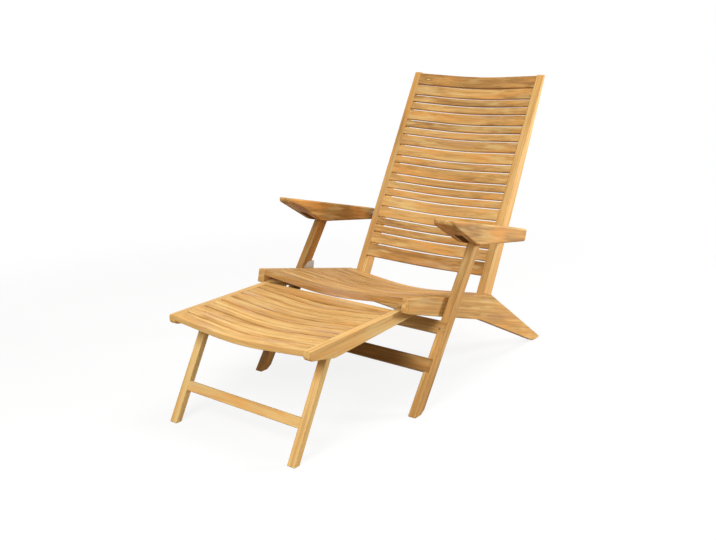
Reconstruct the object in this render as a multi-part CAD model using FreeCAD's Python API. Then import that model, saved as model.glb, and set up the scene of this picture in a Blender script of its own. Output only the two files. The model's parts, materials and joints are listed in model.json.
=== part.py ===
import FreeCAD, Part
import math
import os
from FreeCAD import Placement, Rotation, Vector

# Steamer deck chair in oiled hardwood with a hook-on footrest, millimetres.
# X runs across the chair, +Y to its rear, +Z up, and the sitter faces -Y.
# While it is drawn, y = 0 is the front ground corner of the front legs.
# The last section moves everything to the middle of the footprint.

os.makedirs("parts", exist_ok=True)

# Board thicknesses and the widths across the chair, from the outside in
chairHalfWidth = 330.0
legThick = 27.0
railThick = 27.0
stileThick = 27.0
footRailThick = 24.0
footLegThick = 27.0
washerThick = 1.5

legInner = chairHalfWidth - legThick
railOuter = legInner - washerThick
railInner = railOuter - railThick
stileOuter = railInner - washerThick
stileInner = stileOuter - stileThick
footRailOuter = stileOuter - washerThick
footRailInner = footRailOuter - footRailThick
footLegOuter = footRailInner - washerThick
footLegInner = footLegOuter - footLegThick

# Fits, and how near an edge lies to the face that it is picked by
runningFit = 0.05
faceGap = 0.2
sideGap = 0.3
leafGap = 0.5
edgeSlack = 0.1

# Eased edges of the boards
boardEase = 2.0
slimEase = 1.5
slatEase = 2.4
cornerRound = 4.0

# Front leg: a straight board that leans back, cut flat on the floor
legLean = 34.65
legDepth = 37.0
legFootChamfer = 12.0
footRound = 2.0
legPivotDrop = 30.0

# Stretchers let into the front faces of the front legs, each a distance up the leg and a height
stretcherThick = 16.0
lowerStretcherFrom = 146.0
lowerStretcherTall = 45.0
lowerStretcherInset = 7.0
upperStretcherFrom = 273.5
upperStretcherTall = 42.0
upperStretcherInset = 2.0
stretcherProud = 0.8
stretcherEase = 2.5

# Seat rail: front part under the slats, knee, and rear leg
seatFrontY = 5.0
seatFrontZ = 369.0
seatPitch = 11.53
seatRailDepth = 44.5
kneeY = 509.0
kneeRound = 45.0
rearLegSlope = 0.644
underKneeY = 438.0
underKneeDepth = 86.7
underKneeRound = 160.0
rearFootLength = 60.3

# Slats of all three panels
slatGap = 5.0
wideSlat = 38.9
mediumSlat = 30.0
narrowSlat = 25.5
hollowRound = 110.0
tenonLength = 12.0
tenonThick = 6.0
tenonShoulder = 4.0
tenonRoot = 1.0

# Seat slats along the slope: heavy boards at both ends, two widths between
seatPattern = "WNWWNWWNWW"
seatStartInset = 1.0
seatEndInset = 13.6
seatEndBoard = 48.0
seatBoardThick = 20.0
slatThick = 13.0
seatDishFront = 20.0
seatDishRear = 24.0

# Back: stiles with a straight front edge and a bowed rear edge, hollowed slats between them
backLean = 28.28
backTopZ = 986.5
backPivotBehindKnee = 8.4
backPivotDrop = 41.2
stileEndRadius = 30.0
stileLowStraight = 57.0
stileMidDepth = 43.2
stileTopDepth = 13.8
stileTopStraight = 4.5
stileTopRound = 5.0
backTopInset = 3.0
backPanelRise = 91.2
backTopRail = 45.2
backPattern = "WNNWNNWWNWNNNWWNNW"
backBottomRail = 48.0
backDish = 23.0
backSlatThick = 12.0
backRailThick = 14.0

# Armrest: side outline from its pivot in the stile, plan, and the groove for the leg top
armPivotAlong = 260.1
armPivotDepth = 25.9
armTipForward = 475.0
armTipRise = 127.5
armTipThick = 13.0
armTipLean = 2.6
armTipRound = 6.0
armBellyForward = 321.1
armBellyRise = 24.5
armBellyRound = 90.0
armHeelBehind = 11.4
armHeelDrop = 23.3
armRearBehind = 24.6
armRearRise = 18.1
armRearRound = 9.0
armOverhang = 20.8
armTipWidth = 84.0
armInnerCover = 8.0
armTaperEnd = 37.0
armTaperBlend = 400.0
armOuterRound = 16.0
armInnerRound = 32.0
armEase = 5.0
armBoltDepth = 28.0
blankMargin = 20.0
grooveSide = 1.5
grooveEndGap = 2.5
grooveBelow = 60.0
grooveRearRound = 8.0
grooveFrontRound = 3.0
legTopRise = 39.0

# Reclining: the back leans back by this much, and the armrest turns by a part of it
reclineDegrees = 24.0
armShare = 0.325

# Footrest, hooked under the seat
footFrontY = -413.0
footBelowSeat = 48.0
footPitch = 1.32
footRailPast = 77.0
footHeelBehind = 106.0
footHeelDepth = 49.4
footHeelRound = 60.0
footRailFrontDepth = 26.0
footRailRearDepth = 36.0
footNoseTop = 4.0
footNoseLow = 13.0
footRailRearRound = 6.0
footPattern = "MMMMWWNWN"
footStartInset = 0.5
footSeatGap = 9.8
footFrontBoard = 46.0
footFrontThick = 17.0
footRearRail = 24.0
footRearThick = 22.0
footDish = 19.0
footLegLean = 27.7
footLegDepth = 20.0
footLegForward = 42.0
footPivotDrop = 33.8
footStretcherFrom = 103.0
footStretcherTall = 31.0
footStretcherThick = 14.0
footStretcherInset = 1.5
footBoltDepth = 18.0
hookInset = 14.0
hookDrop = 12.0

# Metal parts
boltRadius = 4.0
headRadius = 8.0
headThick = 4.0
plugDepth = 4.5
nutRadius = 7.5
nutThick = 5.0
recessGap = 0.3
socketRadius = 2.5
socketDepth = 2.2
washerRadius = 10.0
sleeveRadius = 11.0

# Stop plate behind each front leg, and its flange
plateThick = 1.2
plateRise = 21.0
plateDrop = 8.0
plateFrontTall = 15.0
plateFrontLong = 22.0
plateToeTall = 14.0
plateToeLong = 18.0
plateToeBack = 4.0
plateRearMargin = 8.0
plateRearSlope = -9.0
plateRound = 3.0
plateRearRound = 6.0
flangeThick = 3.0
flangeReach = 18.0
flangeRise = 2.0


# Geometry helpers

def tangent(degrees):
    return math.tan(math.radians(degrees))


def sine(degrees):
    return math.sin(math.radians(degrees))


def cosine(degrees):
    return math.cos(math.radians(degrees))


def alongX(y, z, radius, fromX, toX):
    return Part.makeCylinder(radius, toX - fromX, Vector(fromX, y, z), Vector(1, 0, 0))


def outline(corners, x):
    # corners are (y, z, radius): a closed wire in the plane X = x with round corners
    count = len(corners)
    starts = []
    ends = []
    middles = []
    for i in range(count):
        y, z, radius = corners[i]
        here = Vector(x, y, z)
        before = Vector(x, corners[i - 1][0], corners[i - 1][1]) - here
        after = Vector(x, corners[(i + 1) % count][0], corners[(i + 1) % count][1]) - here
        before.normalize()
        after.normalize()
        half = before.getAngle(after) / 2
        if radius <= 0:
            starts.append(here)
            ends.append(here)
            middles.append(None)
            continue
        reach = radius / math.tan(half)
        bisector = (before + after).normalize()
        centre = here + bisector * (radius / math.sin(half))
        starts.append(here + before * reach)
        ends.append(here + after * reach)
        middles.append(centre - bisector * radius)
    edges = []
    for i in range(count):
        if middles[i] is not None:
            edges.append(Part.Arc(starts[i], middles[i], ends[i]).toShape())
        nextStart = starts[(i + 1) % count]
        if (nextStart - ends[i]).Length > 1e-6:
            edges.append(Part.makeLine(ends[i], nextStart))
    return Part.Wire(edges)


def board(corners, fromX, toX):
    return Part.Face(outline(corners, fromX)).extrude(Vector(toX - fromX, 0, 0))


def boardOf(edges, thick):
    # a board of this thickness from the edges of its side outline, given in order
    return Part.Face(Part.Wire(edges)).extrude(Vector(thick, 0, 0))


def eased(shape, radius, wanted):
    return shape.makeFillet(radius, [edge for edge in shape.Edges if wanted(edge)])


def inSide(edge):
    # an edge of a side face, with no length across the chair
    return edge.BoundBox.XLength < edgeSlack


def mirrored(shape):
    return shape.mirror(Vector(0, 0, 0), Vector(1, 0, 0))


def pair(shape):
    # the same piece on both sides of the chair, as one group of separate solids
    return Part.makeCompound([shape, mirrored(shape)])


def turned(point, degrees):
    # (y, z) turned about +X
    y, z = point
    return (y * cosine(degrees) - z * sine(degrees), y * sine(degrees) + z * cosine(degrees))


def onSlope(y, z, degrees):
    # the frame of a slatted panel: local Y runs along the panel, local Z out of its face
    return Placement(Vector(0, y, z), Rotation(Vector(1, 0, 0), degrees))


def hollowProfile(half, dish, drop):
    # top line of a slat seen from its edge: two straight arms and a round middle
    slope = dish / (half - hollowRound / 2)
    armEnd = -slope * (half - hollowRound) - drop
    return [(half, -drop), (hollowRound, armEnd), (0, -dish - drop), (-hollowRound, armEnd), (-half, -drop)]


def slatBody(half, start, width, thick, dish):
    top = [Vector(x, start, z) for x, z in hollowProfile(half, dish, 0)]
    low = [Vector(x, start, z) for x, z in hollowProfile(half, dish, thick)]
    edges = [Part.makeLine(top[0], top[1])]
    edges.append(Part.Arc(top[1], top[2], top[3]).toShape())
    edges.append(Part.makeLine(top[3], top[4]))
    edges.append(Part.makeLine(top[4], low[4]))
    edges.append(Part.makeLine(low[4], low[3]))
    edges.append(Part.Arc(low[3], low[2], low[1]).toShape())
    edges.append(Part.makeLine(low[1], low[0]))
    edges.append(Part.makeLine(low[0], top[0]))
    body = Part.Face(Part.Wire(edges)).extrude(Vector(0, width, 0))
    return eased(body, slatEase, lambda edge: not inSide(edge))


def leftTenon(half, start, width, thick):
    # the tongue at the left end of a slat, with its root inside the slat
    corner = Vector(half - tenonRoot, start + tenonShoulder, -(thick + tenonThick) / 2)
    return Part.makeBox(tenonRoot + tenonLength, width - 2 * tenonShoulder, tenonThick, corner)


def seated(body, half, start, width, thick, frame):
    # the body with its two tenons, put on its panel, and the tongue that cuts the left mortise
    tongue = leftTenon(half, start, width, thick)
    whole = body.fuse([tongue, mirrored(tongue)]).removeSplitter()
    whole.Placement = frame
    tongue.Placement = frame
    return whole, tongue


def slat(half, start, width, thick, dish, frame):
    return seated(slatBody(half, start, width, thick, dish), half, start, width, thick, frame)


def crossBar(half, start, width, thick, frame):
    # a straight board between two others, tenoned into both
    body = Part.makeBox(2 * half, width, thick, Vector(-half, start, -thick))
    body = eased(body, slatEase, lambda edge: edge.BoundBox.XLength > half)
    return seated(body, half, start, width, thick, frame)


widthOf = {"W": wideSlat, "M": mediumSlat, "N": narrowSlat}


def slatRun(pattern, room):
    # as many slats as fit between two boards this far apart, in the order of the pattern
    # over and over, and the gap that spaces them evenly
    letters = []
    letter = pattern[0]
    left = room - slatGap
    while left > widthOf[letter] + slatGap / 2:
        letters.append(letter)
        left -= widthOf[letter] + slatGap
        letter = pattern[len(letters) % len(pattern)]
    return letters, slatGap + left / (len(letters) + 1)


nodes = {}


# Seat rail line, and the places of the pivots as (y, z)

seatSlope = tangent(seatPitch)


def seatTop(y):
    return seatFrontZ - (y - seatFrontY) * seatSlope


kneeZ = seatTop(kneeY)
legSlope = tangent(legLean)
legHalfAcross = legDepth / 2 / cosine(legLean)


def legMiddleY(z):
    return z * legSlope + legHalfAcross


def legRearY(z):
    return legMiddleY(z) + legHalfAcross


legPivotZ = (seatTop(legHalfAcross) - legPivotDrop) / (1 + seatSlope * legSlope)
legPivot = (legMiddleY(legPivotZ), legPivotZ)
backPivot = (kneeY + backPivotBehindKnee, kneeZ - backPivotDrop)


def onStile(along, depth):
    # a distance up the stile from the level of its pivot, and a depth square behind its front edge
    up = turned((0, along), -backLean)
    rear = turned((depth - stileEndRadius, 0), -backLean)
    return (backPivot[0] + up[0] + rear[0], backPivot[1] + up[1] + rear[1])


stileLength = (backTopZ - backPivot[1] - stileEndRadius * sine(backLean)) / cosine(backLean)
armPivot = onStile(armPivotAlong, armPivotDepth)
legTopZ = armPivot[1] + legTopRise
legTop = (legMiddleY(legTopZ), legTopZ)


# Seat rails, one board each from the front edge of the seat to the floor at the rear

rearTipY = kneeY + kneeZ / rearLegSlope
frontLow = turned((0, -seatRailDepth), -seatPitch)
seatRail = board([
    (seatFrontY, seatFrontZ, cornerRound),
    (kneeY, kneeZ, kneeRound),
    (rearTipY, 0, cornerRound),
    (rearTipY - rearFootLength, 0, cornerRound),
    (underKneeY, seatTop(underKneeY) - underKneeDepth, underKneeRound),
    (seatFrontY + frontLow[0], seatFrontZ + frontLow[1], cornerRound),
], railInner, railOuter)
seatRail = eased(seatRail, boardEase, inSide)


# Seat slats between the rails, flush with their tops at the ends

seatFrame = onSlope(seatFrontY, seatFrontZ, -seatPitch)
seatLength = (kneeY - seatFrontY) / cosine(seatPitch) - seatStartInset - seatEndInset
seatLetters, seatGap = slatRun(seatPattern, seatLength - 2 * seatEndBoard)
seatBoards = [seatEndBoard] + [widthOf[letter] for letter in seatLetters] + [seatEndBoard]
place = seatStartInset
mortises = []
for i, width in enumerate(seatBoards):
    thick = seatBoardThick if i == 0 else slatThick
    dish = seatDishFront + (seatDishRear - seatDishFront) * place / seatLength
    body, tongue = slat(railInner, place, width, thick, dish, seatFrame)
    nodes["seat_slat_%02d" % (i + 1)] = body
    mortises.append(tongue)
    place += width + seatGap

seatRail = seatRail.cut(Part.makeCompound(mortises))
seatRail = seatRail.cut(alongX(*backPivot, boltRadius, railInner, railOuter))
seatRail = seatRail.cut(alongX(*backPivot, headRadius, railOuter - plugDepth - headThick, railOuter))
seatRail = seatRail.cut(alongX(*legPivot, boltRadius, railInner, railOuter))
seatRail = seatRail.cut(alongX(*legPivot, nutRadius, railInner, railInner + nutThick))


# Back stiles, tapering upwards, round at the lower end about their pivot

def stilePoint(along, depth):
    return Vector(stileInner, *onStile(along, depth))


stileTop = stilePoint(stileLength, 0)
stileRearTop = stilePoint(stileLength - stileTopStraight, stileTopDepth)
stileRearMid = stilePoint((stileLowStraight + stileLength - stileTopStraight) / 2, stileMidDepth)
stileRearLow = stilePoint(stileLowStraight, 2 * stileEndRadius)
stileEndRear = stilePoint(0, 2 * stileEndRadius)
stileEndFront = stilePoint(0, 0)
stileBottom = stilePoint(-stileEndRadius, stileEndRadius)
stileTopRearY = stileRearTop.y + (backTopZ - stileRearTop.z) * tangent(backLean)
stileTopRear = Vector(stileInner, stileTopRearY, backTopZ)
stile = boardOf([
    Part.makeLine(stileTop, stileEndFront),
    Part.Arc(stileEndFront, stileBottom, stileEndRear).toShape(),
    Part.makeLine(stileEndRear, stileRearLow),
    Part.Arc(stileRearLow, stileRearMid, stileRearTop).toShape(),
    Part.makeLine(stileRearTop, stileTopRear),
    Part.makeLine(stileTopRear, stileTop),
], stileThick)


def stileTopCorner(edge):
    return edge.BoundBox.ZMin > stileRearTop.z and edge.BoundBox.YLength < edgeSlack


def stileLongEdge(edge):
    return inSide(edge) and edge.BoundBox.ZMax > stileRearLow.z


stile = eased(stile, stileTopRound, stileTopCorner)
stile = eased(stile, boardEase, stileLongEdge)


# Back rails and slats between the stiles, hollowed to the rear

backFrame = onSlope(stileTop.y, stileTop.z, 90 - backLean)
backRoom = stileLength - backTopInset - backTopRail - backBottomRail - backPanelRise
backLetters, backGap = slatRun(backPattern, backRoom)
backBoards = [("back_top_rail", backTopRail, backRailThick)]
for i, letter in enumerate(backLetters):
    backBoards.append(("back_slat_%02d" % (i + 1), widthOf[letter], backSlatThick))
backBoards.append(("back_bottom_rail", backBottomRail, backRailThick))
place = -backTopInset
mortises = []
for name, width, thick in backBoards:
    nodes[name], tongue = slat(stileInner, place - width, width, thick, backDish, backFrame)
    mortises.append(tongue)
    place -= width + backGap

stile = stile.cut(Part.makeCompound(mortises))
stile = stile.cut(alongX(*backPivot, boltRadius + runningFit, stileInner, stileOuter))
stile = stile.cut(alongX(*backPivot, nutRadius + recessGap, stileInner, stileInner + nutThick + recessGap))
stile = stile.cut(alongX(*armPivot, boltRadius + runningFit, stileInner, stileOuter))
nodes["back_stile_left"] = stile
nodes["back_stile_right"] = mirrored(stile)


# Front legs and their stretchers

def stretcher(inset, start, tall):
    # a cross board let into the front faces of both legs, with its front a little proud of them
    def frontEdge(edge):
        return edge.BoundBox.XLength > chairHalfWidth and edge.BoundBox.YMax < stretcherThick / 2

    half = chairHalfWidth - inset
    bar = Part.makeBox(2 * half, stretcherThick, tall, Vector(-half, -stretcherProud, start))
    bar = eased(bar, stretcherEase, frontEdge)
    bar.Placement = onSlope(0, 0, -legLean)
    return bar


def footEdge(edge):
    # an edge on the floor that runs across the chair
    return edge.BoundBox.ZMax < edgeSlack and not inSide(edge)


def atLegTop(across, along):
    # a point of the front leg's board, from the middle of its round top
    offset = turned((across, along), -legLean)
    return Vector(legInner, legTop[0] + offset[0], legTop[1] + offset[1])


legHalf = legDepth / 2
legFront = Vector(legInner, 0, 0)
legRear = Vector(legInner, legRearY(0) - legFootChamfer, 0)
legChamfer = Vector(legInner, legRearY(legFootChamfer), legFootChamfer)
frontLeg = boardOf([
    Part.makeLine(legFront, legRear),
    Part.makeLine(legRear, legChamfer),
    Part.makeLine(legChamfer, atLegTop(legHalf, 0)),
    Part.Arc(atLegTop(legHalf, 0), atLegTop(0, legHalf), atLegTop(-legHalf, 0)).toShape(),
    Part.makeLine(atLegTop(-legHalf, 0), legFront),
], legThick)


frontLeg = eased(eased(frontLeg, footRound, footEdge), boardEase, inSide)
upperStretcher = stretcher(upperStretcherInset, upperStretcherFrom, upperStretcherTall)
lowerStretcher = stretcher(lowerStretcherInset, lowerStretcherFrom, lowerStretcherTall)
frontLeg = frontLeg.cut(Part.makeCompound([upperStretcher, lowerStretcher]))
legSeat = chairHalfWidth - plugDepth - headThick - recessGap
frontLeg = frontLeg.cut(alongX(*legPivot, boltRadius + runningFit, legInner, chairHalfWidth))
frontLeg = frontLeg.cut(alongX(*legPivot, headRadius + recessGap, legSeat, chairHalfWidth))
nodes["front_leg_left"] = frontLeg
nodes["front_leg_right"] = mirrored(frontLeg)
nodes["upper_stretcher"] = upperStretcher
nodes["lower_stretcher"] = lowerStretcher


# Armrests. The leg top keeps its place while the back reclines, so its way along
# the groove is the path of that place as the armrest sees it.

def legTopInArm(degrees):
    arm = turned((armPivot[0] - backPivot[0], armPivot[1] - backPivot[1]), -degrees)
    seen = (legTop[0] - backPivot[0] - arm[0], legTop[1] - backPivot[1] - arm[1])
    seen = turned(seen, armShare * degrees)
    return (armPivot[0] + seen[0], armPivot[1] + seen[1])


grooveRear = legTopInArm(0)
grooveFront = legTopInArm(reclineDegrees)
grooveSlope = (grooveFront[1] - grooveRear[1]) / (grooveFront[0] - grooveRear[0])
grooveRise = (legDepth / 2 + leafGap) / math.cos(math.atan(grooveSlope))
grooveFromY = grooveFront[0] - legDepth / 2 - grooveEndGap
grooveToY = grooveRear[0] + legDepth / 2 + grooveEndGap


def grooveRoof(y):
    return grooveRear[1] + grooveSlope * (y - grooveRear[0]) + grooveRise


groove = board([
    (grooveFromY, grooveRoof(grooveFromY), grooveFrontRound),
    (grooveToY, grooveRoof(grooveToY), grooveRearRound),
    (grooveToY, grooveRoof(grooveToY) - grooveBelow, 0),
    (grooveFromY, grooveRoof(grooveToY) - grooveBelow, 0),
], legInner - grooveSide, chairHalfWidth + grooveSide)

armOuter = chairHalfWidth + armOverhang
armTipInner = armOuter - armTipWidth
armRearInner = legInner - armInnerCover
armTipY = armPivot[0] - armTipForward
armTipLowY = armTipY - armTipLean
armTipZ = armPivot[1] + armTipRise
armRearY = armPivot[0] + armRearBehind
armSide = board([
    (armTipY, armTipZ, armTipRound),
    (armTipLowY, armTipZ - armTipThick, armTipRound),
    (armPivot[0] - armBellyForward, armPivot[1] + armBellyRise, armBellyRound),
    (armPivot[0] + armHeelBehind, armPivot[1] - armHeelDrop, armRearRound),
    (armRearY, armPivot[1] + armRearRise, armRearRound),
], armTipInner - blankMargin, armOuter + blankMargin)
armPlan = board([
    (armTipLowY, armOuter, armOuterRound),
    (armTipLowY, armTipInner, armInnerRound),
    (armPivot[0] - armTaperEnd, armRearInner, armTaperBlend),
    (armRearY + blankMargin, armRearInner, 0),
    (armRearY + blankMargin, armOuter, 0),
], -armTipZ - blankMargin, blankMargin - armPivot[1] + armHeelDrop)
armPlan.rotate(Vector(0, 0, 0), Vector(0, 1, 0), 90)


def armSideEdge(edge):
    # the long edges of both side faces, without the upright ones of the plan's corners
    box = edge.BoundBox
    upright = box.ZLength > armTipThick and box.YLength < edgeSlack
    onOuter = box.XMin > armOuter - edgeSlack
    onInner = box.XMax < armRearInner + edgeSlack
    return onOuter or (onInner and not upright)


armBoltEnd = armRearInner + armBoltDepth
armrest = eased(armSide.common(armPlan), armEase, armSideEdge)
armrest = armrest.cut(groove)
armrest = armrest.cut(alongX(*armPivot, boltRadius + runningFit, armTipInner, armBoltEnd + recessGap))
nodes["armrest_left"] = armrest
nodes["armrest_right"] = mirrored(armrest)


# Footrest rails, hooked over pins in the seat rails at their rear ends

footTopZ = seatFrontZ - footBelowSeat
footSlope = tangent(footPitch)


def footTop(y):
    return footTopZ + (y - footFrontY) * footSlope


footHeelY = footFrontY + footHeelBehind
footRailEndY = seatFrontY + footRailPast
hookY = footRailEndY - hookInset
hookZ = footTop(hookY) - hookDrop
footLegSlope = tangent(footLegLean)
footLegStart = footFrontY - footLegForward
footLegHalfAcross = footLegDepth / 2 / cosine(footLegLean)
footPivotZ = (footTop(footLegStart + footLegHalfAcross) - footPivotDrop) / (1 - footSlope * footLegSlope)
footPivot = (footLegStart + footPivotZ * footLegSlope + footLegHalfAcross, footPivotZ)

footRail = board([
    (footFrontY, footTop(footFrontY), footNoseTop),
    (footRailEndY, footTop(footRailEndY), footRailRearRound),
    (footRailEndY, footTop(footRailEndY) - footRailRearDepth, footRailRearRound),
    (footHeelY, footTop(footHeelY) - footHeelDepth, footHeelRound),
    (footFrontY, footTop(footFrontY) - footRailFrontDepth, footNoseLow),
], footRailInner, footRailOuter)
footRail = eased(footRail, boardEase, inSide)
hookRadius = boltRadius + runningFit
slotCorner = Vector(footRailInner, hookY - hookRadius, hookZ - footRailRearDepth)
hookSlot = Part.makeBox(footRailThick, 2 * hookRadius, footRailRearDepth, slotCorner)
footRail = footRail.cut(hookSlot)
footRail = footRail.cut(alongX(hookY, hookZ, hookRadius, footRailInner, footRailOuter))

hookPin = alongX(hookY, hookZ, boltRadius, footRailInner, railInner + tenonLength)
seatRail = seatRail.cut(hookPin)
nodes["seat_rail_left"] = seatRail
nodes["seat_rail_right"] = mirrored(seatRail)
nodes["footrest_hook_pins"] = pair(hookPin)


# Footrest slats: a heavy front board, slats of three widths, and a straight rear rail

footFrame = onSlope(footFrontY, footTopZ, footPitch)
footLength = (seatFrontY - footSeatGap - footFrontY) / cosine(footPitch)
footRearStart = footLength - footRearRail
footLetters, footGap = slatRun(footPattern, footRearStart - footStartInset - footFrontBoard)
frontBoard = slat(footRailInner, footStartInset, footFrontBoard, footFrontThick, footDish, footFrame)
nodes["footrest_front_board"] = frontBoard[0]
mortises = [frontBoard[1]]
footGroups = {"W": [], "M": [], "N": []}
place = footStartInset + footFrontBoard + footGap
for letter in footLetters:
    body, tongue = slat(footRailInner, place, widthOf[letter], slatThick, footDish, footFrame)
    footGroups[letter].append(body)
    mortises.append(tongue)
    place += widthOf[letter] + footGap
for letter, name in (("W", "wide"), ("M", "medium"), ("N", "narrow")):
    if footGroups[letter]:
        nodes["footrest_slats_" + name] = Part.makeCompound(footGroups[letter])

rearBar, tongue = crossBar(footRailInner, footRearStart, footRearRail, footRearThick, footFrame)
nodes["footrest_rear_rail"] = rearBar
mortises.append(tongue)

footBoltEnd = footRailInner + footBoltDepth
footRail = footRail.cut(Part.makeCompound(mortises))
footRail = footRail.cut(alongX(*footPivot, boltRadius, footRailInner, footBoltEnd))
nodes["footrest_rail_left"] = footRail
nodes["footrest_rail_right"] = mirrored(footRail)


# Footrest legs and their stretcher

def atFootLegTop(across, along):
    # a point of the footrest leg's board, from the middle of its round top
    offset = turned((across, along), -footLegLean)
    return Vector(footLegInner, footPivot[0] + offset[0], footPivot[1] + offset[1])


footHalf = footLegDepth / 2
footLow = Vector(footLegInner, footLegStart, 0)
footRear = Vector(footLegInner, footLegStart + 2 * footLegHalfAcross, 0)
footLeg = boardOf([
    Part.makeLine(footLow, footRear),
    Part.makeLine(footRear, atFootLegTop(footHalf, 0)),
    Part.Arc(atFootLegTop(footHalf, 0), atFootLegTop(0, footHalf), atFootLegTop(-footHalf, 0)).toShape(),
    Part.makeLine(atFootLegTop(-footHalf, 0), footLow),
], footLegThick)
footLeg = eased(eased(footLeg, footRound, footEdge), slimEase, inSide)
barFront = turned((footStretcherInset, 0), -footLegLean)
barFrame = onSlope(footLegStart + barFront[0], barFront[1], 90 - footLegLean)
footBar, tongue = crossBar(footLegInner, footStretcherFrom, footStretcherTall, footStretcherThick, barFrame)
footLeg = footLeg.cut(tongue)
footLeg = footLeg.cut(alongX(*footPivot, boltRadius + runningFit, footLegInner, footLegOuter))
nodes["footrest_leg_left"] = footLeg
nodes["footrest_leg_right"] = mirrored(footLeg)
nodes["footrest_stretcher"] = footBar


# Pivot bolts with a barrel nut inside and a round head outside, set deep under a plug

def pivotBolt(pivot, fromX, toX):
    bolt = alongX(*pivot, boltRadius, fromX, toX)
    bolt = bolt.fuse(alongX(*pivot, headRadius, toX - headThick, toX))
    bolt = bolt.fuse(alongX(*pivot, nutRadius, fromX, fromX + nutThick))
    return bolt.removeSplitter().cut(alongX(*pivot, socketRadius, toX - socketDepth, toX))


def blindBolt(pivot, innerFace, toX):
    # a bolt with its head on the inner side of the boards and its end inside the outer one
    headX = innerFace - faceGap - headThick
    bolt = alongX(*pivot, boltRadius, headX, toX)
    return bolt.fuse(alongX(*pivot, headRadius, headX, headX + headThick)).removeSplitter()


def washer(pivot, fromX):
    ring = alongX(*pivot, washerRadius, fromX, fromX + washerThick)
    return ring.cut(alongX(*pivot, boltRadius, fromX, fromX + washerThick))


legBolt = pivotBolt(legPivot, railInner, chairHalfWidth - plugDepth)
backBolt = pivotBolt(backPivot, stileInner, railOuter - plugDepth)
nodes["pivot_bolts"] = Part.makeCompound([pair(legBolt), pair(backBolt)])
legWasher = washer(legPivot, railOuter)
backWasher = washer(backPivot, stileOuter)
nodes["pivot_washers"] = Part.makeCompound([pair(legWasher), pair(backWasher)])
nodes["footrest_leg_bolts"] = pair(blindBolt(footPivot, footLegInner, footBoltEnd))
nodes["footrest_leg_washers"] = pair(washer(footPivot, footLegOuter))
nodes["armrest_bolts"] = pair(blindBolt(armPivot, stileInner, armBoltEnd))
sleeve = alongX(*armPivot, sleeveRadius, stileOuter + faceGap, armRearInner - faceGap)
sleeve = sleeve.cut(alongX(*armPivot, boltRadius, stileOuter, armRearInner))
nodes["armrest_spacers"] = pair(sleeve)


# Stop plates: on the outer faces of the seat rails, with a flange behind the front legs

railTopAtLeg = seatTop(legRearY(legPivotZ))
plateTop = railTopAtLeg + plateRise
plateLow = legPivotZ - plateDrop
plateFrontY = legPivot[0] + washerRadius
plateRearY = legRearY(plateTop) + flangeThick / cosine(legLean) + plateRearMargin
stopPlate = board([
    (plateFrontY + plateToeBack, plateLow + plateToeTall, plateRound),
    (plateFrontY, plateTop - plateFrontTall, plateRound),
    (plateFrontY + plateFrontLong, plateTop, plateRound),
    (plateRearY, plateTop, plateRearRound),
    (plateRearY + plateRearSlope, plateLow, plateRearRound),
    (plateFrontY + plateToeLong, plateLow, plateRearRound),
], railOuter, railOuter + plateThick)
flangeLow = railTopAtLeg + flangeRise
flange = board([
    (legRearY(flangeLow) + sideGap, flangeLow, 0),
    (legRearY(plateTop) + sideGap, plateTop, 0),
    (legRearY(plateTop) + sideGap + flangeThick, plateTop, 0),
    (legRearY(flangeLow) + sideGap + flangeThick, flangeLow, 0),
], railOuter, legInner + flangeReach)
nodes["leg_stop_plates"] = pair(stopPlate.fuse(flange).removeSplitter())


# Move the chair over the middle of its footprint and write one file for each node

box = Part.makeCompound(list(nodes.values())).optimalBoundingBox(False)
shift = Vector(0, -(box.YMin + box.YMax) / 2, 0)
for name, shape in nodes.items():
    shape.translate(shift)
    shape.exportStep("parts/%s.step" % name)

pivots = {"back": backPivot, "front leg": legPivot, "armrest": armPivot, "leg top": legTop}
pivots.update({"footrest leg": footPivot, "footrest hook": (hookY, hookZ)})
for name, (y, z) in pivots.items():
    print("%s pivot at y %.2f, z %.2f" % (name, y + shift.y, z))
print("slat gaps: seat %.3f, back %.3f, footrest %.3f" % (seatGap, backGap, footGap))
print("%d nodes, moved by y %.3f" % (len(nodes), shift.y))
print("size %.1f x %.1f x %.1f" % (box.XLength, box.YLength, box.ZLength))
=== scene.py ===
import bpy
import json
import math
import random
from mathutils import Matrix, Vector


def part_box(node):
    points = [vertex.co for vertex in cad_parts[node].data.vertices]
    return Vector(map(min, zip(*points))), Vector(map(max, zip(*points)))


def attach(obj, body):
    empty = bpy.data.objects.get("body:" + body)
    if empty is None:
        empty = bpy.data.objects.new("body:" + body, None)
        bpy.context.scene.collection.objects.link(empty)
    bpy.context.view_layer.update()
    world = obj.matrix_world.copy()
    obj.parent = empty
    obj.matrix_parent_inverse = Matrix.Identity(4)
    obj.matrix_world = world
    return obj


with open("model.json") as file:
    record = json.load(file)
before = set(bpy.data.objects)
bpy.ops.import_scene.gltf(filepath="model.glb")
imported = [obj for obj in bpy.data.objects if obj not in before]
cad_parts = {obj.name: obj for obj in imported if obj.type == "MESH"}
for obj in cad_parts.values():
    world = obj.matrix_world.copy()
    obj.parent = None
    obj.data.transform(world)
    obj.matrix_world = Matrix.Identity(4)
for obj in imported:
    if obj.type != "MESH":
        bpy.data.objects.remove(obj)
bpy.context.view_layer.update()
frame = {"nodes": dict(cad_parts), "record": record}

# Steamer deck chair: finishes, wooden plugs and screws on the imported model, in metres
nodes = frame["nodes"]
print("frame loaded,", len(nodes), "nodes")

acrossChair = Vector((1, 0, 0))


def leaning(degrees):
    # a direction in the chair's side view, measured from the floor's +Y
    angle = math.radians(degrees)
    return Vector((0, math.cos(angle), math.sin(angle)))


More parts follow.
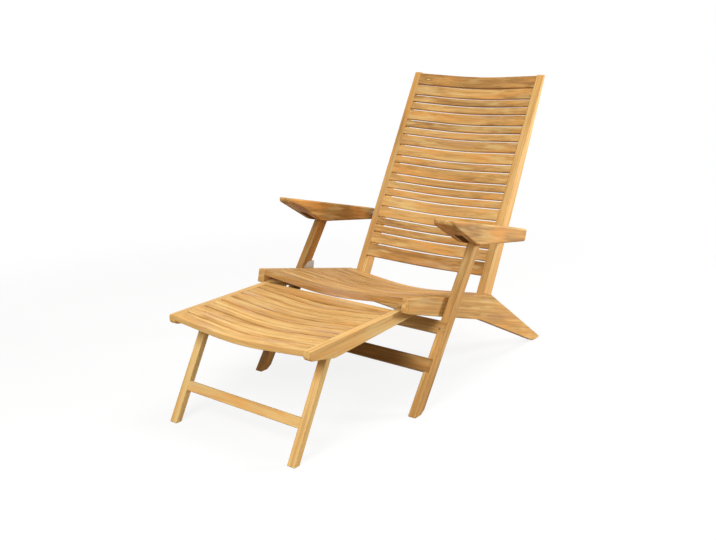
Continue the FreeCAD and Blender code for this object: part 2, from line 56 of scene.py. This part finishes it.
class Amount:
    # a number in a shader, for use in Python sums
    def __init__(self, recipe, socket):
        self.recipe = recipe
        self.socket = socket

    def __add__(self, other):
        return self.recipe.sum("ADD", self, other)

    def __radd__(self, other):
        return self.recipe.sum("ADD", other, self)

    def __sub__(self, other):
        return self.recipe.sum("SUBTRACT", self, other)

    def __mul__(self, other):
        return self.recipe.sum("MULTIPLY", self, other)

    def __gt__(self, other):
        return self.recipe.sum("GREATER_THAN", self, other)


class Recipe:
    # a material, or the world, and the nodes that it is made of
    def __init__(self, owner):
        self.owner = owner
        owner.use_nodes = True
        self.tree = owner.node_tree
        self.tree.nodes.clear()

    def node(self, kind, settings=None, inputs=None):
        made = self.tree.nodes.new(kind)
        for key, value in (settings or {}).items():
            if key == "stops":
                stops = made.color_ramp.elements
                while len(stops) < len(value):
                    stops.new(0.5)
                for stop, (position, colour) in zip(stops, value):
                    stop.position = position
                    stop.color = (*colour, 1)
            else:
                setattr(made, key, value)
        for key, value in (inputs or {}).items():
            socket = made.inputs[key]
            if isinstance(value, Amount):
                value = value.socket
            if isinstance(value, bpy.types.NodeSocket):
                self.tree.links.new(value, socket)
            else:
                socket.default_value = value
        return made

    def sum(self, operation, first, second=0):
        made = self.node("ShaderNodeMath", {"operation": operation}, {0: first, 1: second})
        return Amount(self, made.outputs[0])

    def measure(self, vector, direction):
        # how far a vector reaches along a direction
        made = self.node("ShaderNodeVectorMath", {"operation": "DOT_PRODUCT"}, {0: vector, 1: direction})
        return Amount(self, made.outputs["Value"])

    def length(self, vector):
        made = self.node("ShaderNodeVectorMath", {"operation": "LENGTH"}, {0: vector})
        return Amount(self, made.outputs["Value"])

    def total(self, amounts, shares):
        # the amounts times their shares, added up
        parts = [amounts[kind] * share for kind, share in shares.items()]
        whole = parts[0]
        for part in parts[1:]:
            whole = whole + part
        return whole

    def noise(self, place, perMetre, detail, roughness=0.55):
        # perMetre is how often the noise repeats along each axis
        scaled = self.node("ShaderNodeVectorMath", {"operation": "MULTIPLY"}, {0: place, 1: perMetre})
        made = self.node("ShaderNodeTexNoise", {"noise_dimensions": "3D"}, {
            "Vector": scaled.outputs[0], "Scale": 1.0, "Detail": detail, "Roughness": roughness})
        return Amount(self, made.outputs[0])

    def band(self, amount, low, high, outLow=0.0, outHigh=1.0):
        made = self.node("ShaderNodeMapRange", {"interpolation_type": "SMOOTHSTEP"}, {
            "Value": amount, "From Min": low, "From Max": high, "To Min": outLow, "To Max": outHigh})
        return Amount(self, made.outputs[0])

    def mix(self, factor, first, second):
        made = self.node("ShaderNodeMix", {"data_type": "RGBA"}, {0: factor, 6: first, 7: second})
        return made.outputs[2]

    def tint(self, factor, base, colour):
        return self.mix(factor, base, (*colour, 1))

    def seenRays(self):
        # one for what the camera sees, straight, mirrored or through glass
        ray = self.node("ShaderNodeLightPath")
        seen = Amount(self, ray.outputs["Is Camera Ray"]) + Amount(self, ray.outputs["Is Glossy Ray"])
        return seen + Amount(self, ray.outputs["Is Transmission Ray"])

    def finish(self, shader, output="ShaderNodeOutputMaterial"):
        self.node(output, {}, {0: shader.outputs[0]})
        return self.owner


def newMaterial(name):
    return Recipe(bpy.data.materials.new(name))


def shade(colour, factor):
    return (*[min(1.0, c * factor) for c in colour], 1)


# Oiled hardwood: golden, with amber and rosy clouds, brown streaks, growth rings and pores
wood = {
    "gold": (0.82, 0.560, 0.225),
    "honey": (0.62, 0.352, 0.118),
    "brown": (0.31, 0.150, 0.042),
    "amber": (0.76, 0.350, 0.085),
    "straw": (0.78, 0.580, 0.250),
    "rose": (0.55, 0.330, 0.200),
    "streak": (0.22, 0.095, 0.028),
    # marks of the grain, by how often they repeat along, across and through the board
    "marks": {
        "sweep": {"perMetre": (0.9, 7.0, 7.0), "detail": 2.0},
        "fibre": {"perMetre": (4.5, 260.0, 260.0), "detail": 3.0, "roughness": 0.6},
        "cloud": {"perMetre": (4.0, 24.0, 24.0), "detail": 2.0},
        "figure": {"perMetre": (2.6, 125.0, 125.0), "detail": 3.0},
        "pores": {"perMetre": (38.0, 950.0, 950.0), "detail": 2.0},
        "amber": {"perMetre": (5.5, 34.0, 34.0), "detail": 2.0},
        "straw": {"perMetre": (5.0, 48.0, 48.0), "detail": 2.0},
        "rose": {"perMetre": (3.0, 24.0, 24.0), "detail": 2.0},
        "streak": {"perMetre": (3.2, 75.0, 75.0), "detail": 3.0, "roughness": 0.65},
    },
    # marks that show only here and there: the noise at which they start, and at which they are full
    "patches": {
        "pores": (0.60, 0.72), "amber": (0.44, 0.66), "straw": (0.50, 0.70),
        "rose": (0.54, 0.72), "streak": (0.58, 0.74),
    },
    "rings": {"perMetre": 34, "tilt": 0.35, "sweep": 5.0, "band": (-0.9, 1.0)},
    # how much each mark lightens and raises the wood
    "light": {"cloud": 0.42, "figure": 0.80, "fibre": 0.62, "rings": 0.10},
    "relief": {"fibre": 0.5, "rings": 0.15, "pores": -0.6},
    "lightMiddle": 0.945,
    "lightRange": (-0.5, 0.7),
    "poreDark": 0.22,
    # the shift of the grain and the spread of the tone from board to board
    "grainOffset": 9,
    "boardShift": (1.7, 2.7, 3.7),
    "boardSeed": 0.37,
    "boardSpread": 0.16,
    # halo and heart of a knot as shares of its size, and how far the fibres fray them
    "knot": {"halo": (2.2, 0.9), "haloDark": 0.55, "heart": (0.8, 0.3), "heartGold": 0.8, "fray": 0.5},
    "roughness": 0.56,
    "fibreRough": 0.25,
    "poreRough": 0.08,
    "shine": 0.12,
    "bump": 0.25,
    "bumpDepth": 0.0006,
    "edgeShadeBand": (0.95, 0.80),
    "endFade": 0.014,
    "endShade": 0.30,
    "grooveEdge": 0.0008,
    "grooveDark": 0.85,
}


def woodMark(r, place, kind):
    strength = r.noise(place, **wood["marks"][kind])
    return r.band(strength, *wood["patches"][kind]) if kind in wood["patches"] else strength


def growthRings(r, grained, sweep):
    rings = wood["rings"]
    layers = (grained[1] + grained[2] * rings["tilt"]) * rings["perMetre"] + sweep * rings["sweep"]
    return r.band(r.sum("SINE", layers * (2 * math.pi)), *rings["band"])


def boardPlace(r, parts, joints, seed):
    # the place in the grain, which each board of a panel shifts, and the board's own tone
    rng = random.Random(seed)
    offsets = [rng.uniform(-wood["grainOffset"], wood["grainOffset"]) for _ in range(3)]
    if not joints:
        return [part + offset for part, offset in zip(parts, offsets)], 0
    board = parts[1] > joints[0]
    for joint in joints[1:]:
        board = board + (parts[1] > joint)
    grained = [
        part + (board * shift + offset) for part, shift, offset in zip(parts, wood["boardShift"], offsets)]
    chance = r.node("ShaderNodeTexWhiteNoise", {"noise_dimensions": "1D"}, {
        "W": board + seed * wood["boardSeed"]})
    return grained, (Amount(r, chance.outputs["Value"]) - 0.5) * (2 * wood["boardSpread"])


def woodColour(r, mark, tone, look):
    lightness = r.band(tone, *wood["lightRange"])
    base = r.node("ShaderNodeValToRGB", {"stops": [
        (0.0, wood["brown"]), (0.5, wood["honey"]), (1.0, wood["gold"])]}, {0: lightness}).outputs[0]
    for kind in ("amber", "straw", "rose", "streak"):
        base = r.tint(mark[kind] * look[kind], base, wood[kind])
    return base


def addKnot(r, base, parts, directions, look, fibre):
    size, middle = look["knot"]
    knot = wood["knot"]
    offset = [(parts[i] - directions[i].dot(middle)) * (1 / size[i]) for i in range(2)]
    onBoard = r.node("ShaderNodeCombineXYZ", {}, {0: offset[0], 1: offset[1]})
    reach = r.length(onBoard.outputs[0]) + (fibre - 0.5) * knot["fray"]
    base = r.tint(r.band(reach, *knot["halo"]) * knot["haloDark"], base, wood["brown"])
    return r.tint(r.band(reach, *knot["heart"]) * knot["heartGold"], base, wood["gold"])


def shadeEdges(r, base, directions, look):
    # painted shade: the eased edges are darkened, where the surface faces between two directions
    facing = r.node("ShaderNodeTexCoord").outputs["Normal"]
    flat = None
    for direction in directions:
        straight = r.sum("ABSOLUTE", r.measure(facing, direction))
        flat = straight if flat is None else r.sum("MAXIMUM", flat, straight)
    return r.tint(r.band(flat, *wood["edgeShadeBand"]) * look["edge"], base, wood["streak"])


def shadeEnds(r, base, parts, look):
    # painted shade also darkens a board's ends, next to the joints
    end = r.band(r.sum("ABSOLUTE", parts[0]), look["reach"] - wood["endFade"], look["reach"])
    return r.tint(end * wood["endShade"], base, wood["streak"])


def darkenGroove(r, base, parts, look):
    # the inside of the groove for the leg top, which little light reaches
    inside = 1.0
    soft = wood["grooveEdge"]
    for amount, (low, high) in zip(parts, look["groove"]):
        inside = r.band(amount, low - soft, low) * r.band(amount, high + soft, high) * inside
    return r.tint(inside * wood["grooveDark"], base, wood["streak"])


def oiledWood(name, along, across, look, seed, joints=()):
    # along is the grain; joints are the places across it where one board ends and the next begins
    r = newMaterial(name)
    place = r.node("ShaderNodeTexCoord").outputs["Object"]
    directions = (along, across, along.cross(across))
    parts = [r.measure(place, direction) for direction in directions]
    grained, boardTone = boardPlace(r, parts, joints, seed)
    inGrain = r.node("ShaderNodeCombineXYZ", {}, dict(enumerate(grained))).outputs[0]
    mark = {kind: woodMark(r, inGrain, kind) for kind in wood["marks"]}
    mark["rings"] = growthRings(r, grained, mark["sweep"])

    light = r.total(mark, wood["light"]) - wood["lightMiddle"]
    base = woodColour(r, mark, light + boardTone + look["tone"], look)
    if "knot" in look:
        base = addKnot(r, base, parts, directions, look, mark["fibre"])
    base = r.tint(mark["pores"] * wood["poreDark"], base, wood["streak"])
    # painted shade on the eased edges
    base = shadeEdges(r, base, directions, look)
    # painted shade on the board ends
    if "reach" in look:
        base = shadeEnds(r, base, parts, look)
    if "groove" in look:
        base = darkenGroove(r, base, parts, look)

    rough = wood["roughness"] + (mark["fibre"] - 0.5) * wood["fibreRough"]
    rough = rough + mark["pores"] * wood["poreRough"]
    bump = r.node("ShaderNodeBump", {}, {
        "Strength": wood["bump"], "Distance": wood["bumpDepth"], "Height": r.total(mark, wood["relief"])})
    shader = r.node("ShaderNodeBsdfPrincipled", {}, {
        "Base Color": base, "Roughness": rough, "Normal": bump.outputs[0],
        "Specular IOR Level": wood["shine"]})
    return r.finish(shader)


# Brushed steel of the bolts, washers and plates
steel = {
    "colour": (0.58, 0.58, 0.57),
    "dark": 0.82,
    "pale": 1.08,
    "brush": {"perMetre": (900.0, 60.0, 900.0), "detail": 3.0},
    "smear": {"perMetre": (35.0, 35.0, 35.0), "detail": 3.0},
    "roughness": 0.34,
    "brushRough": 0.18,
    "smearRough": 0.12,
    "bump": 0.15,
    "bumpDepth": 0.0002,
}


def brushedSteel(name):
    r = newMaterial(name)
    place = r.node("ShaderNodeTexCoord").outputs["Object"]
    brush = r.noise(place, **steel["brush"])
    smear = r.noise(place, **steel["smear"])
    base = r.mix(smear, shade(steel["colour"], steel["dark"]), shade(steel["colour"], steel["pale"]))
    rough = steel["roughness"] + (brush - 0.5) * steel["brushRough"]
    rough = rough + (smear - 0.5) * steel["smearRough"]
    bump = r.node("ShaderNodeBump", {}, {
        "Strength": steel["bump"], "Distance": steel["bumpDepth"], "Height": brush})
    shader = r.node("ShaderNodeBsdfPrincipled", {}, {
        "Base Color": base, "Metallic": 1.0, "Roughness": rough, "Normal": bump.outputs[0]})
    return r.finish(shader)


def dress(thing, material):
    thing.data.materials.clear()
    thing.data.materials.append(material)


# Which way the grain of each board runs, in degrees in the side view, and the slope of each panel
grain = {
    "seat_rail": -16.0,
    "back_stile": 61.7,
    "front_leg": 55.35,
    "armrest": -12.4,
    "footrest_rail": 1.3,
    "footrest_leg": 62.3,
}
panelSlope = {
    "seat_slat": -11.5,
    "back_": grain["back_stile"],
    "footrest_stretcher": grain["footrest_leg"],
    "footrest_": grain["footrest_rail"],
    "upper_stretcher": grain["front_leg"],
    "lower_stretcher": grain["front_leg"],
}
metalNodes = [
    "pivot_bolts", "pivot_washers", "leg_stop_plates", "footrest_hook_pins",
    "armrest_bolts", "armrest_spacers", "footrest_leg_bolts", "footrest_leg_washers",
]

# How each board differs from a plain one: its tone, the spread of that, how strong its marks are, and how
# strong the painted shade on its eased edges is
plainLook = {
    "tone": 0.05, "spread": 0.04, "amber": 0.45, "straw": 0.45, "rose": 0.25, "streak": 0.28, "edge": 0.35,
}
looks = {
    "back_slat": {"tone": -0.04, "spread": 0.04, "amber": 0.48, "edge": 0.0},
    "back_top_rail": {
        "tone": -0.22, "spread": 0.0, "amber": 0.3, "rose": 0.45, "edge": 0.2,
        "knot": ((0.012, 0.0045), Vector((-0.206, 0.647, 0.961))),  # its size along and across, its place
    },
    "back_bottom_rail": {"tone": -0.26, "spread": 0.0, "rose": 0.4, "edge": 0.2},
    "seat_slat_01": {"tone": -0.27, "spread": 0.0, "amber": 0.15, "rose": 0.5},
    "seat_slat": {"tone": -0.15, "spread": 0.08, "amber": 0.3, "rose": 0.6},
    "footrest_stretcher": {"tone": 0.28, "amber": 0.5},
    "footrest_leg": {"tone": 0.34, "spread": 0.03, "amber": 0.4},
    "footrest_rail": {"tone": 0.18, "spread": 0.03, "amber": 0.3},
    "footrest_": {"tone": 0.12, "spread": 0.04, "amber": 0.25, "straw": 0.5, "rose": 0.5},
    "seat_rail": {"tone": -0.03, "spread": 0.02, "amber": 0.32},
    "back_stile_right": {"tone": 0.02, "spread": 0.0, "amber": 0.5},
    "back_stile": {"tone": 0.16, "spread": 0.0, "amber": 0.35},
    "front_leg_left": {"tone": -0.06, "spread": 0.03, "amber": 0.3},
    # painted shade: the far front leg is toned darker than the near one, for the shade on the far side
    "front_leg_right": {"tone": -0.35, "spread": 0.0, "straw": 0.15},
    "armrest_left": {"tone": -0.15, "spread": 0.0, "amber": 0.65, "streak": 0.2, "edge": 0.0},
    # painted shade: the far armrest is toned darker than the near one, for the shade of the back on the far
    # side
    "armrest_right": {"tone": -0.26, "spread": 0.0, "amber": 0.7, "streak": 0.15, "edge": 0.0},
    "upper_stretcher": {"tone": -0.06, "spread": 0.0, "amber": 0.25, "straw": 0.35, "rose": 0.0},
    # painted shade: the lower stretcher is toned darker, for the shade under the seat
    "lower_stretcher": {"tone": -0.40, "spread": 0.0, "amber": 0.25, "straw": 0.3, "rose": 0.0},
}
# back slats that are plainly darker or paler than the rest, counted from the top
slatTones = {
    2: -0.12, 5: -0.14, 6: 0.14, 8: 0.12, 10: 0.02, 11: 0.06, 13: 0.05, 14: 0.18, 15: 0.12,
    16: -0.16, 17: -0.08, 18: 0.10,
}
cornerGap = 0.02  # corners further apart than this belong to two boards
wallGap = (0.0005, 0.0018)  # the side walls of an armrest's groove stand this far off the leg


def boardJoints(thing, across):
    # where the separate boards of one node part, found in the gaps between their corners
    places = sorted({round(across.dot(v.co), 4) for v in thing.data.vertices})
    return [(a + b) / 2 for a, b in zip(places, places[1:]) if b - a > cornerGap]


def grooveSpace(thing, directions):
    # the space of the leg top's groove, from the corners on its two side walls
    low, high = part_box("front_leg_left")
    middle = (low[0] + high[0]) / 2
    half = (high[0] - low[0]) / 2
    corners = [v.co for v in thing.data.vertices]
    walls = [c for c in corners if wallGap[0] < abs(abs(c.x) - middle) - half < wallGap[1]]
    return [(min(d.dot(c) for c in walls), max(d.dot(c) for c in walls)) for d in directions]


def named(table, name):
    # the first entry whose key the name starts with
    return next((value for key, value in table.items() if name.startswith(key)), None)


steelFinish = brushedSteel("brushedSteel")
rng = random.Random(41)
for name in sorted(nodes):
    if name in metalNodes:
        dress(nodes[name], steelFinish)
        continue
    look = {**plainLook, **(named(looks, name) or {})}
    look["tone"] += rng.uniform(-look["spread"], look["spread"])
    if name.startswith("back_slat_"):
        look["tone"] += slatTones.get(int(name[-2:]), 0)
    upright = named(grain, name)
    if upright is not None:
        along = leaning(upright)
        across = leaning(upright + 90)
        joints = ()
        if name.startswith("armrest"):
            look["groove"] = grooveSpace(nodes[name], (along, across, acrossChair))
    else:
        along = acrossChair
        across = leaning(named(panelSlope, name))
        joints = boardJoints(nodes[name], across) if "slats" in name else ()
        look["reach"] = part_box(name)[1][0]
    dress(nodes[name], oiledWood("wood_" + name, along, across, look, rng.randrange(1000), joints))
print("finishes on all nodes")

# Places that the added fasteners are measured from
pivots = {joint["name"]: Vector(joint["pos_m"]) for joint in frame["record"]["behaviour"]["joints"]}
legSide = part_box("front_leg_left")[1][0]
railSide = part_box("seat_rail_left")[1][0]
chairSides = {"left": Vector((1, 0, 0)), "right": Vector((-1, 0, 0))}


def selectFaces(mesh, wanted):
    # faces picked by their place, in edit mode and face select
    bpy.ops.mesh.select_all(action="DESELECT")
    bpy.ops.object.mode_set(mode="OBJECT")
    for polygon in mesh.polygons:
        polygon.select = wanted(polygon)
    bpy.ops.object.mode_set(mode="EDIT")


def startRound(name, radius, length, sides):
    # a short round bar along +Z from the origin, open for shaping in edit mode
    bpy.ops.object.select_all(action="DESELECT")
    bpy.ops.mesh.primitive_cylinder_add(
        vertices=sides, radius=radius, depth=length, location=(0, 0, length / 2))
    made = bpy.context.object
    made.name = name
    bpy.ops.object.transform_apply(location=True, rotation=True, scale=True)
    bpy.ops.object.mode_set(mode="EDIT")
    bpy.ops.mesh.select_mode(type="FACE")
    return made


def endShape(made, angle):
    bpy.ops.object.mode_set(mode="OBJECT")
    bpy.ops.object.shade_smooth_by_angle(angle=math.radians(angle))
    return made


def setAt(pattern, name, place, direction, body, material):
    # a copy of the pattern with its own mesh, standing at a place and facing along a direction
    copy = pattern.copy()
    copy.data = pattern.data.copy()
    copy.name = name
    turn = direction.to_track_quat("Z", "Y").to_matrix().to_4x4()
    copy.data.transform(Matrix.Translation(place) @ turn)
    bpy.context.scene.collection.objects.link(copy)
    dress(copy, material)
    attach(copy, body)


# Wooden plugs over the bolts and screws
plugs = {
    "legRadius": 0.0082, "railRadius": 0.00795, "depth": 0.0040, "proud": 0.00025,
    "smallRadius": 0.0045, "smallDepth": 0.0012, "sides": 40,
    "edge": 0.0004, "edgeRise": 0.00016, "crown": 0.45, "crownRise": 0.00008, "smoothTo": 40,
}
stretcherPlugs = {
    "across": 0.309, "front": 0.0193, "downTheLeg": {"upper": 0.0816, "lower": 0.2101},
    "tone": -0.5, "seed": 78,
}


def facesUp(face):
    return face.normal.z > 0.9


def woodPlug(name, radius, length):
    made = startRound(name, radius, length, plugs["sides"])
    selectFaces(made.data, facesUp)
    bpy.ops.mesh.inset(thickness=plugs["edge"], depth=plugs["edgeRise"])
    bpy.ops.mesh.inset(thickness=radius * plugs["crown"], depth=plugs["crownRise"])
    return endShape(made, plugs["smoothTo"])


legUp = leaning(grain["front_leg"])
legFacing = leaning(grain["front_leg"] + 90)
legPlug = woodPlug("legPlugPattern", plugs["legRadius"], plugs["depth"])
railPlug = woodPlug("railPlugPattern", plugs["railRadius"], plugs["depth"])
smallPlug = woodPlug("smallPlugPattern", plugs["smallRadius"], plugs["smallDepth"])
smallPlugLook = {**plainLook, "tone": stretcherPlugs["tone"]}
smallPlugWood = oiledWood("wood_stretcher_plugs", acrossChair, legUp, smallPlugLook, stretcherPlugs["seed"])
for side, out in chairSides.items():
    at = pivots["front_leg_fold"] + out * (legSide - plugs["depth"] + plugs["proud"])
    legWood = nodes["front_leg_" + side].data.materials[0]
    setAt(legPlug, "front_leg_plug_" + side, at, out, "front_legs", legWood)
    at = pivots["back_recline"] + out * (railSide - plugs["depth"] + plugs["proud"])
    railWood = nodes["seat_rail_" + side].data.materials[0]
    setAt(railPlug, "seat_rail_plug_" + side, at, out, "seat_frame", railWood)
    for level, down in stretcherPlugs["downTheLeg"].items():
        face = stretcherPlugs["front"] - plugs["smallDepth"] + plugs["proud"]
        at = pivots["front_leg_fold"] + out * stretcherPlugs["across"] + legFacing * face - legUp * down
        plugName = level + "_stretcher_plug_" + side
        setAt(smallPlug, plugName, at, legFacing, "front_legs", smallPlugWood)
for pattern in (legPlug, railPlug, smallPlug):
    bpy.data.objects.remove(pattern)
print("plugs set")

# Screws that hold the stop plates, with a slot in a low round head
screws = {
    "radius": 0.0032, "height": 0.0011, "sides": 28, "rim": 0.00096, "rimRise": 0.000275,
    "slotWide": 0.0008, "slotDeep": 0.0006, "smoothTo": 30,
    "behindPivot": (0.0340, 0.0470), "abovePivot": (-0.0010, 0.0030), "plate": 0.0012,
}


def inSlot(face):
    # inside the rim, between the slot's two long edges
    between = abs(face.center.y) < screws["slotWide"] / 2
    return facesUp(face) and between and abs(face.center.x) < screws["radius"] - screws["rim"]


def slottedScrew(name):
    made = startRound(name, screws["radius"], screws["height"], screws["sides"])
    selectFaces(made.data, facesUp)
    bpy.ops.mesh.inset(thickness=screws["rim"], depth=screws["rimRise"])
    for edgeY in (-screws["slotWide"] / 2, screws["slotWide"] / 2):
        bpy.ops.mesh.select_all(action="SELECT")
        bpy.ops.mesh.bisect(plane_co=(0, edgeY, 0), plane_no=(0, 1, 0))
    selectFaces(made.data, inSlot)
    bpy.ops.mesh.extrude_region_move(TRANSFORM_OT_translate={"value": (0, 0, -screws["slotDeep"])})
    return endShape(made, screws["smoothTo"])


screwPattern = slottedScrew("screwPattern")
for side, out in chairSides.items():
    for number, (back, up) in enumerate(zip(screws["behindPivot"], screws["abovePivot"]), 1):
        at = pivots["front_leg_fold"] + out * (railSide + screws["plate"]) + Vector((0, back, up))
        screwName = "plate_screw_%s_%d" % (side, number)
        setAt(screwPattern, screwName, at, out, "seat_frame", steelFinish)
bpy.data.objects.remove(screwPattern)
print("screws set")

# Floor, backdrop and light
stage = {
    "floorSeen": (0.93, 0.93, 0.93), "floorBounce": (0.20, 0.155, 0.10), "floorSize": 40.0,
    "mottle": {"perMetre": (2.0, 2.0, 2.0), "detail": 2.0}, "mottleDepth": 0.005,
    "roughness": 0.9, "shine": 0.1, "fadeFrom": 1.3, "fadeTo": 2.6, "lift": 0.86,
    "ambient": (1.0, 0.88, 0.70), "ambientStrength": 0.07, "backdrop": (1, 1, 1, 1),
}


def floorPaint():
    # pale paint that keeps the shadow, gives little light back, and fades into the backdrop
    r = newMaterial("floorPaint")
    place = r.node("ShaderNodeTexCoord").outputs["Object"]
    mottle = r.noise(place, **stage["mottle"])
    dark = shade(stage["floorSeen"], 1 - stage["mottleDepth"])
    paint = r.mix(mottle, dark, shade(stage["floorSeen"], 1 + stage["mottleDepth"]))
    straightOn = r.node("ShaderNodeLightPath").outputs["Is Camera Ray"]
    paint = r.mix(straightOn, shade(stage["floorBounce"], 1.0), paint)
    paper = r.node("ShaderNodeBsdfPrincipled", {}, {
        "Base Color": paint, "Roughness": stage["roughness"], "Specular IOR Level": stage["shine"]})
    white = r.node("ShaderNodeEmission", {}, {"Color": stage["backdrop"], "Strength": 1.0})
    far = r.band(r.length(place), stage["fadeFrom"], stage["fadeTo"], stage["lift"], 1.0)
    blend = {0: far * r.seenRays(), 1: paper.outputs[0], 2: white.outputs[0]}
    return r.finish(r.node("ShaderNodeMixShader", {}, blend))


def studioWorld():
    # a weak warm light all round, which the camera sees as a white backdrop
    world = bpy.data.worlds.new("studio")
    r = Recipe(world)
    glow = r.node("ShaderNodeBackground", {}, {
        "Color": (*stage["ambient"], 1), "Strength": stage["ambientStrength"]})
    white = r.node("ShaderNodeBackground", {}, {"Color": stage["backdrop"], "Strength": 1.0})
    blend = {0: r.seenRays(), 1: glow.outputs[0], 2: white.outputs[0]}
    return r.finish(r.node("ShaderNodeMixShader", {}, blend), "ShaderNodeOutputWorld")


bpy.ops.object.select_all(action="DESELECT")
bpy.ops.mesh.primitive_plane_add(size=stage["floorSize"], location=(0, 0, 0))
floor = bpy.context.object
floor.name = "floor"
dress(floor, floorPaint())
bpy.context.scene.world = studioWorld()

lamps = {
    "keyLamp": {"place": (0.5, -2.7, 2.1), "size": 1.4, "power": 78.0},
    "topLamp": {"place": (0.7, 0.9, 3.9), "size": 2.4, "power": 105.0},
    "rearLamp": {"place": (2.2, 2.2, 0.9), "size": 0.7, "power": 88.0},
    "fillLamp": {"place": (2.4, -3.2, 0.9), "size": 1.6, "power": 20.0},
}
lampAim = Vector((0, 0, 0.4))
for name, lamp in lamps.items():
    light = bpy.data.lights.new(name, "AREA")
    light.shape = "SQUARE"
    light.size = lamp["size"]
    light.energy = lamp["power"]
    holder = bpy.data.objects.new(name, light)
    holder.location = lamp["place"]
    holder.rotation_euler = (Vector(lamp["place"]) - lampAim).to_track_quat("Z", "Y").to_euler()
    bpy.context.scene.collection.objects.link(holder)

# Camera
view = {
    "place": (1.6186, -2.2300, 1.0900),
    "azimuth": 36.93,
    "pitch": 14.54,
    "sensor": 36.0,
    "lens": 42.88,
    "shift": (-0.0012, -0.0054),
}
cameraData = bpy.data.cameras.new("camera")
cameraData.sensor_width = view["sensor"]
cameraData.lens = view["lens"]
cameraData.shift_x, cameraData.shift_y = view["shift"]
camera = bpy.data.objects.new("camera", cameraData)
camera.location = view["place"]
camera.rotation_euler = (math.radians(90 - view["pitch"]), 0, math.radians(view["azimuth"]))
bpy.context.scene.collection.objects.link(camera)
bpy.context.scene.camera = camera
bpy.context.scene.view_settings.view_transform = "Standard"
print("stage and camera set")
